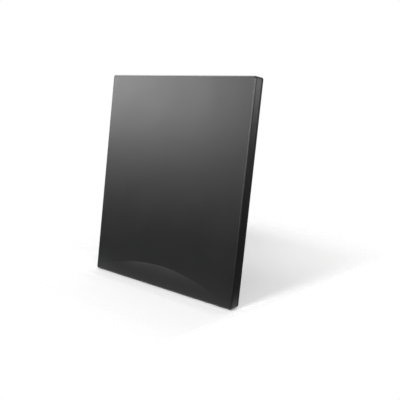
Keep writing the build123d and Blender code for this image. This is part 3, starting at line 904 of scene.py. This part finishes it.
class ANTENNA_OT_screws(bpy.types.Operator):
    """Four self-tapping screws that close the case"""

    bl_idname = "antenna.screws"
    bl_label = "Cover screws"

    def execute(self, context):
        hardware = context.scene.antenna_hardware
        steel = metallic(
            "Screw steel",
            (0.1, 0.1, 0.105),
            0.34,
            size=0.0003,
            stretch=4.0,
            strength=0.08,
            spread=0.12,
        )
        template = self.screw(steel)
        points = bpy.data.meshes.new("screw_points")
        side = PANEL_WIDTH / 2 - SCREW_INSET
        spots = []
        for across in (-side, side):
            for up in (SCREW_INSET, PANEL_HEIGHT - SCREW_INSET):
                spots.append((across, up, SCREW_SEAT))
        points.from_pydata(spots, [], [])
        worker = work_object("cover_screws_work", points)
        modifier = worker.modifiers.new("Screws", "NODES")
        modifier.node_group = set_tree()
        values = {"Piece": template, "Seed": hardware.screw_turn_seed, "Material": steel}
        set_inputs(modifier, values)
        mesh = evaluated_mesh(worker)
        bpy.data.objects.remove(template)
        mesh.transform(panel_frame())
        piece_from_mesh("cover_screws_driven", mesh, "case", "screw_steel", "cover_screws")
        return {"FINISHED"}

    def screw(self, steel):
        """One screw at the origin: a domed head with a cross recess above z = 0, its shank below."""
        outline = [(0.0, HEAD_SKIRT + HEAD_DOME)]
        for step in range(1, HEAD_STEPS + 1):
            angle = math.radians(90 * step / HEAD_STEPS)
            height = HEAD_SKIRT + HEAD_DOME * math.cos(angle)
            outline.append((HEAD_RADIUS * math.sin(angle), height))
        outline += [
            (HEAD_RADIUS, 0.0),
            (CORE_RADIUS, 0.0),
            (CORE_RADIUS, -CORE_LENGTH),
            (POINT_RADIUS, -SCREW_LENGTH),
            (0.0, -SCREW_LENGTH),
        ]
        shape = bmesh.new()
        lathe(shape, outline, steps=40)
        bmesh.ops.remove_doubles(shape, verts=shape.verts, dist=1e-7)
        bmesh.ops.recalc_face_normals(shape, faces=shape.faces)
        worker = work_object("screw_work", mesh_from(shape, "screw_blank"))
        cutter = self.recess()
        cut = worker.modifiers.new("Cross recess", "BOOLEAN")
        cut.operation = "DIFFERENCE"
        cut.object = cutter
        cut.solver = "EXACT"
        cross = evaluated_mesh(worker)
        bpy.data.objects.remove(cutter)
        if not cross.polygons:
            raise RuntimeError("The cross recess left nothing of the screw")
        shape = bmesh.new()
        shape.from_mesh(cross)
        bmesh.ops.remove_doubles(shape, verts=shape.verts, dist=SAME_POINT)
        sizes = {
            "Root Radius": 0.00108,
            "Crest Radius": 0.00145,
            "Pitch": 0.00115,
            "Start": -0.0057,
            "Turns": 4.2,
            "Steps": 120,
        }
        return work_object("screw_template", threaded("screw", shape, thread_tree(), steel, sizes))

    def recess(self):
        """Tapered cross that cuts the driver's recess into a head, as one closed solid."""
        shape = bmesh.new()
        rings = []
        for height, reach, half in RECESS_RINGS:
            ring = []
            for quarter in range(4):
                turn = Matrix.Rotation(math.pi / 2 * quarter, 3, "Z")
                for corner in ((half, -half), (reach, -half), (reach, half)):
                    ring.append(shape.verts.new(turn @ Vector((*corner, height))))
            rings.append(ring)
        lower, upper = rings
        for step in range(len(lower)):
            after = (step + 1) % len(lower)
            shape.faces.new((lower[step], lower[after], upper[after], upper[step]))
        shape.faces.new(lower)
        shape.faces.new(upper)
        bmesh.ops.recalc_face_normals(shape, faces=shape.faces)
        return work_object("recess_work", mesh_from(shape, "recess"))


def laminate():
    """Green solder mask over copper tracks that run square to each other."""
    material, shader = new_material("Board laminate")
    tree = material.node_tree
    grain = effect(material, "grain", size=0.0006)
    place = tree.nodes.new("ShaderNodeTexCoord")
    tracks = tree.nodes.new("ShaderNodeTexBrick")
    tracks.inputs["Scale"].default_value = 180.0
    tracks.inputs["Mortar Size"].default_value = 0.045
    tracks.inputs["Color1"].default_value = (0.012, 0.09, 0.035, 1.0)
    tracks.inputs["Color2"].default_value = (0.014, 0.105, 0.042, 1.0)
    tracks.inputs["Mortar"].default_value = (0.03, 0.19, 0.07, 1.0)
    spin = tree.nodes.new("ShaderNodeMapping")
    spin.inputs["Rotation"].default_value = (-math.pi / 2, 0.0, 0.0)
    tree.links.new(place.outputs["Object"], spin.inputs["Vector"])
    tree.links.new(spin.outputs[0], tracks.inputs["Vector"])
    tree.links.new(tracks.outputs["Color"], shader.inputs["Base Color"])
    rough = remap(tree, grain.outputs["Tone"], 0.3, 0.7, 0.24, 0.34)
    tree.links.new(rough, shader.inputs["Roughness"])
    bump(material, shader, tracks.outputs["Fac"], 0.3, 0.00004)
    return material


class ANTENNA_OT_inside(bpy.types.Operator):
    """Finishes of the elements, the board and what it carries"""

    bl_idname = "antenna.inside"
    bl_label = "Inside"

    def execute(self, context):
        sheet = metallic(
            "Element sheet", (0.74, 0.75, 0.76), 0.3, size=0.0003, stretch=30.0, strength=0.08
        )
        board = laminate()
        ferrite = moulded("Ferrite", (0.05, 0.05, 0.052), 0.6, size=0.0003, strength=0.4)
        copper = metallic(
            "Copper wire", (0.55, 0.22, 0.09), 0.22, size=0.0002, stretch=10.0, strength=0.05
        )
        resin = moulded("Chip resin", (0.018, 0.018, 0.018), 0.55, size=0.0002, strength=0.3)
        ceramic = moulded("Chip ceramic", (0.5, 0.42, 0.32), 0.5, size=0.0002, strength=0.2)
        tin = metallic(
            "Tin plate", (0.72, 0.72, 0.7), 0.2, size=0.0004, stretch=15.0, strength=0.06
        )
        steel = metallic(
            "Board screw steel", (0.55, 0.55, 0.54), 0.3, size=0.0003, stretch=4.0, strength=0.06
        )
        finishes = {
            "left_element": sheet,
            "right_element": sheet,
            "matching_board": board,
            "balun_core": ferrite,
            "balun_winding": copper,
            "amplifier_chip": resin,
            "chip_parts": ceramic,
            "shield_can": tin,
            "board_screws": steel,
        }
        for node, finish in finishes.items():
            dress(node, finish)
        return {"FINISHED"}


# The middle of the panel, which every lamp faces
PANEL_MIDDLE = Vector((0.0, 0.0, 0.11))

# The way to the white sweep behind the object, the cosines off it at which the white begins and is
# full, and how bright the studio is away from it
SWEEP = (-0.652, 0.757, 0.053)
SWEEP_BEGIN = 0.45
SWEEP_FULL = 0.78
STUDIO_LEVEL = 0.06

# The floor's radius, and its own glow, which lifts it to the white of the sweep
FLOOR_RADIUS = 3.0
FLOOR_GLOW = 0.045


class ANTENNA_OT_stage(bpy.types.Operator):
    """Pale floor, soft lamps and the camera"""

    bl_idname = "antenna.stage"
    bl_label = "Stage"

    def execute(self, context):
        studio = context.scene.antenna_studio
        context.scene.view_settings.view_transform = "Standard"
        self.add_floor(studio)
        self.add_sky(context.scene)
        for lamp in self.lamps(studio):
            self.add_lamp(*lamp)
        for card in self.cards(studio):
            self.add_lamp(*card).visible_diffuse = False
        self.add_camera(context.scene, studio)
        return {"FINISHED"}

    def add_floor(self, studio):
        """A pale disc that fades out into the sky around it."""
        shape = bmesh.new()
        bmesh.ops.create_circle(shape, cap_ends=True, segments=128, radius=FLOOR_RADIUS)
        mesh = mesh_from(shape, "floor")
        material, shader = new_material("Pale floor")
        tree = material.node_tree
        shader.inputs["Base Color"].default_value = (*studio.floor_colour, 1.0)
        shader.inputs["Roughness"].default_value = 0.9
        shader.inputs["Specular IOR Level"].default_value = 0.0
        place = tree.nodes.new("ShaderNodeTexCoord")
        parts = tree.nodes.new("ShaderNodeSeparateXYZ")
        tree.links.new(place.outputs["Object"], parts.inputs[0])
        # The disc shows only round the object and its shadow, and fades out on every side
        edge = level_distance(tree, place, 0.995, -0.1)
        right = remap(tree, edge, 0.102, 0.12, 1.0, 0.0, smooth=True)
        left = remap(tree, parts.outputs["X"], -0.24, -0.12, 0.0, 1.0, smooth=True)
        sides = combine(tree, "MULTIPLY", left, right)
        # In front, a short fade close to the object and a longer one further out
        near = remap(tree, parts.outputs["Y"], -0.06, -0.04, 0.0, 0.55, smooth=True)
        far = remap(tree, parts.outputs["Y"], -0.16, -0.07, 0.0, 0.45, smooth=True)
        front = combine(tree, "ADD", near, far)
        # Behind, it thins out along the shadow and ends after it
        back = remap(tree, parts.outputs["Y"], 0.225, 0.32, 1.0, 0.0, smooth=True)
        slant = level_distance(tree, place, 0.755, 0.656)
        thin = remap(tree, slant, 0.085, 0.285, 1.0, 0.0)
        ends = combine(tree, "MULTIPLY", front, combine(tree, "MULTIPLY", back, thin))
        fade = combine(tree, "MULTIPLY", sides, ends)
        tree.links.new(fade, shader.inputs["Alpha"])
        ray = tree.nodes.new("ShaderNodeLightPath")
        seen = combine(tree, "MAXIMUM", ray.outputs["Is Camera Ray"], ray.outputs["Is Glossy Ray"])
        seen = combine(tree, "MAXIMUM", seen, ray.outputs["Is Transmission Ray"])
        tree.links.new(seen, shader.inputs["Emission Color"])
        shader.inputs["Emission Strength"].default_value = FLOOR_GLOW
        mesh.materials.append(material)
        floor = bpy.data.objects.new("floor", mesh)
        bpy.context.scene.collection.objects.link(floor)

    def add_sky(self, scene):
        """A dim studio with one white sweep behind the object."""
        world = bpy.data.worlds.new("Studio")
        world.use_nodes = True
        scene.world = world
        tree = world.node_tree
        sky = tree.nodes["Background"]
        sky.inputs["Color"].default_value = (1.0, 1.0, 1.0, 1.0)
        place = tree.nodes.new("ShaderNodeTexCoord")
        facing = tree.nodes.new("ShaderNodeVectorMath")
        facing.operation = "DOT_PRODUCT"
        facing.inputs[1].default_value = SWEEP
        tree.links.new(place.outputs["Generated"], facing.inputs[0])
        cosine = facing.outputs["Value"]
        level = remap(tree, cosine, SWEEP_BEGIN, SWEEP_FULL, STUDIO_LEVEL, 1.0, smooth=True)
        tree.links.new(level, sky.inputs["Strength"])

    def lamps(self, studio):
        """Each lamp's name, place (azimuth and height in degrees, distance), width and length, power.

        Azimuth 0 is in front and 90 on the right. A last value is the roll in degrees.
        """
        return (
            ("Softbox", (-53.0, 14.2, 3.0), (1.6, 0.66), studio.key_power, 6.0),
            ("Top lamp", (-4.0, 47.0, 2.0), (0.4, 0.4), studio.top_power),
            ("Rear lamp", (180.0, 61.0, 1.8), (0.3, 0.3), studio.rear_power),
            ("Overhead", (75.0, 50.0, 1.9), (1.2, 1.2), studio.fill_power),
            ("Rim strip", (-62.0, 37.0, 2.0), (0.6, 0.25), studio.rim_power),
            ("Front softbox", (56.0, 17.0, 2.0), (3.4, 0.46), studio.front_power),
            ("Side softbox", (142.0, 5.0, 2.0), (0.7, 0.3), studio.side_power),
            ("Back softbox", (-132.0, 34.0, 2.0), (1.2, 0.8), studio.back_power),
        )

    def cards(self, studio):
        """The same for the cards, which show as reflections and light nothing else."""
        return (
            ("Top card", (-88.0, 47.0, 2.0), (1.6, 0.7), studio.top_card_power),
            ("Edge card", (-10.0, 20.0, 3.0), (1.5, 0.6), studio.edge_card_power),
            ("Corner card", (175.0, 62.0, 2.0), (0.9, 2.0), studio.corner_card_power),
        )

    def add_lamp(self, name, place, size, power, roll=0.0):
        """A rectangular area lamp that faces the middle of the panel, rolled about its own beam."""
        azimuth, height, distance = place
        turn = math.radians(azimuth)
        rise = math.radians(height)
        way = Vector(
            (math.sin(turn) * math.cos(rise), -math.cos(turn) * math.cos(rise), math.sin(rise))
        )
        lamp = bpy.data.lights.new(name, "AREA")
        lamp.shape = "RECTANGLE"
        lamp.size, lamp.size_y = size
        lamp.energy = power
        holder = bpy.data.objects.new(name, lamp)
        holder.location = PANEL_MIDDLE + way * distance
        facing = (-way).to_track_quat("-Z", "Y")
        holder.rotation_euler = (facing @ Quaternion((0, 0, 1), math.radians(roll))).to_euler()
        holder.visible_camera = False
        bpy.context.scene.collection.objects.link(holder)
        return holder

    def add_camera(self, scene, studio):
        """A camera at the photograph's point of view."""
        turn = studio.camera_azimuth
        drop = studio.camera_drop
        way = Vector(
            (math.sin(turn) * math.cos(drop), math.cos(turn) * math.cos(drop), -math.sin(drop))
        )
        view = bpy.data.cameras.new("Camera")
        view.lens = studio.lens
        view.sensor_width = 36.0
        view.clip_start = 0.01
        holder = bpy.data.objects.new("Camera", view)
        holder.location = studio.camera_place
        holder.rotation_euler = way.to_track_quat("-Z", "Y").to_euler()
        scene.collection.objects.link(holder)
        scene.camera = holder


class ANTENNA_PT_sidebar(bpy.types.Panel):
    """Settings and steps of the antenna"""

    bl_idname = "ANTENNA_PT_sidebar"
    bl_label = "Flat indoor antenna"
    bl_space_type = "VIEW_3D"
    bl_region_type = "UI"
    bl_category = "Antenna"

    def draw(self, context):
        for place in SETTINGS:
            group = getattr(context.scene, place)
            box = self.layout.box()
            for name in group.__annotations__:
                box.prop(group, name)
        for step in STEPS:
            self.layout.operator(step.bl_idname)


SETTINGS = {
    "antenna_case": CaseSettings,
    "antenna_hardware": HardwareSettings,
    "antenna_studio": StudioSettings,
}
STEPS = (
    ANTENNA_OT_covers,
    ANTENNA_OT_foot,
    ANTENNA_OT_socket,
    ANTENNA_OT_screws,
    ANTENNA_OT_inside,
    ANTENNA_OT_stage,
)


def register():
    for name, group in SETTINGS.items():
        bpy.utils.register_class(group)
        setattr(bpy.types.Scene, name, bpy.props.PointerProperty(type=group))
    for step in STEPS:
        bpy.utils.register_class(step)
    bpy.utils.register_class(ANTENNA_PT_sidebar)


def unregister():
    bpy.utils.unregister_class(ANTENNA_PT_sidebar)
    for step in reversed(STEPS):
        bpy.utils.unregister_class(step)
    for name, group in reversed(SETTINGS.items()):
        delattr(bpy.types.Scene, name)
        bpy.utils.unregister_class(group)


def main():
    register()
    bpy.ops.antenna.covers()
    bpy.ops.antenna.foot()
    bpy.ops.antenna.socket()
    bpy.ops.antenna.screws()
    bpy.ops.antenna.inside()
    bpy.ops.antenna.stage()


if __name__ == "__main__":
    main()
